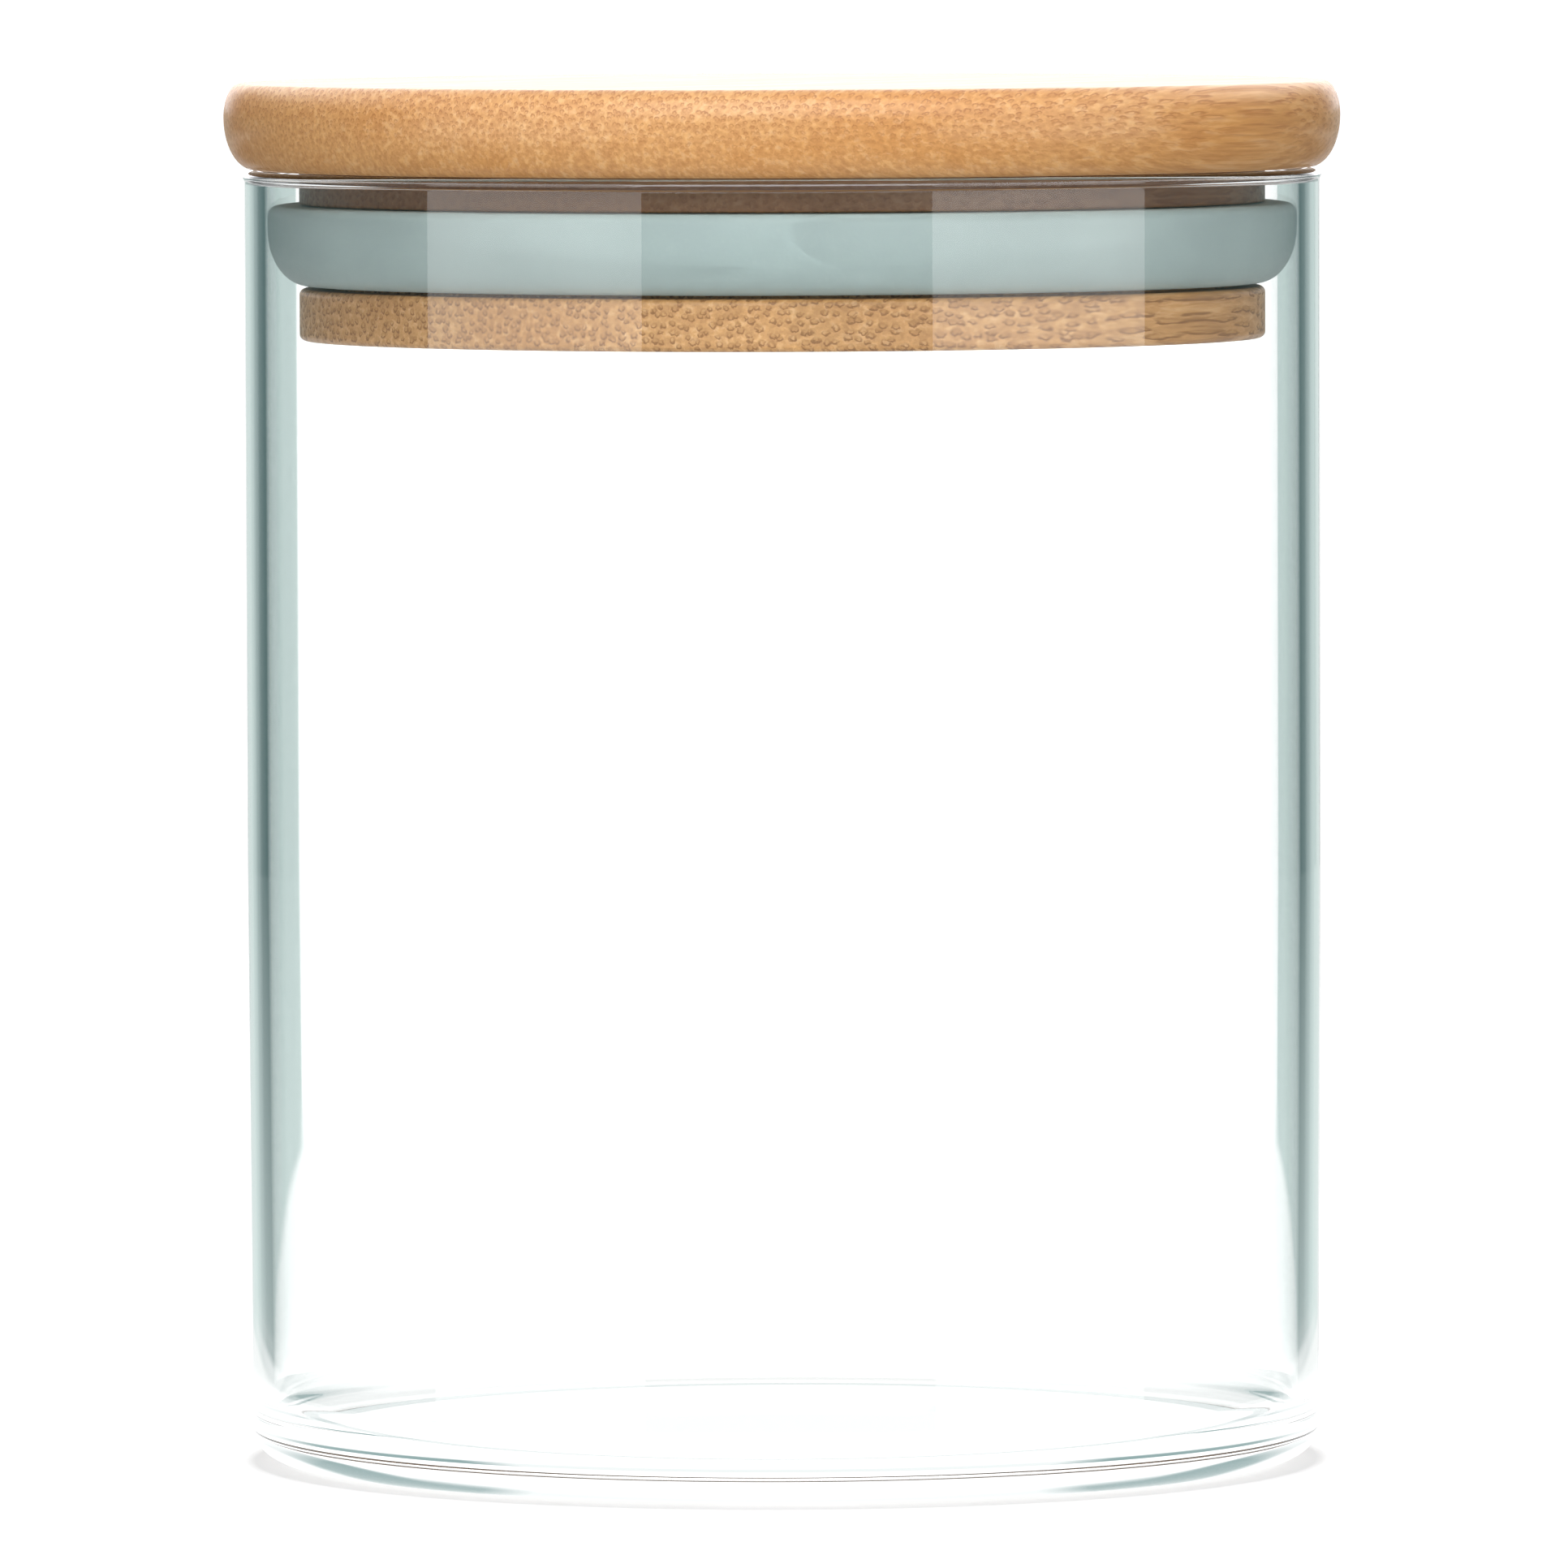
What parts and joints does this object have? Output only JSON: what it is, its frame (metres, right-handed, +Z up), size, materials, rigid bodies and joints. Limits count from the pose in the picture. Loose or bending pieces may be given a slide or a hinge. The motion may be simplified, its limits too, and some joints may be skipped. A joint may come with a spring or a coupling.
{
  "type": "lidded glass canister",
  "caption": "Straight-sided clear glass storage canister with a round bamboo lid whose grooved plug carries a soft silicone sealing ring.",
  "frame": {"origin": "centre of the jar's foot, on the surface it stands on", "axes": "+Z up along the canister's axis, -Y towards the viewer"},
  "size_m": [0.1038, 0.1038, 0.1281],
  "materials": {
    "clear_glass": "clear, smooth, faint green-grey tint at the edges",
    "grey_silicone": "matte translucent grey silicone",
    "bamboo_plug": "fine sanded bamboo, lightly oiled",
    "bamboo_edge": "fine sanded bamboo, lightly oiled"
  },
  "bodies": {
    "jar": {"glass_jar": "clear_glass"},
    "seal": {"silicone_seal": "grey_silicone"},
    "lid": {"lid_cap": "bamboo_edge", "lid_plug": "bamboo_plug"}
  },
  "joints": [
    {"name": "lid_lift", "type": "slide", "parent": "jar", "child": "seal", "axis": [0, 0, 1], "range_m": [0, 0.06]},
    {"name": "lid_turn", "type": "hinge", "parent": "seal", "child": "lid", "pos_m": [0, 0, 0.1143], "axis": [0, 0, 1], "continuous": true}
  ]
}
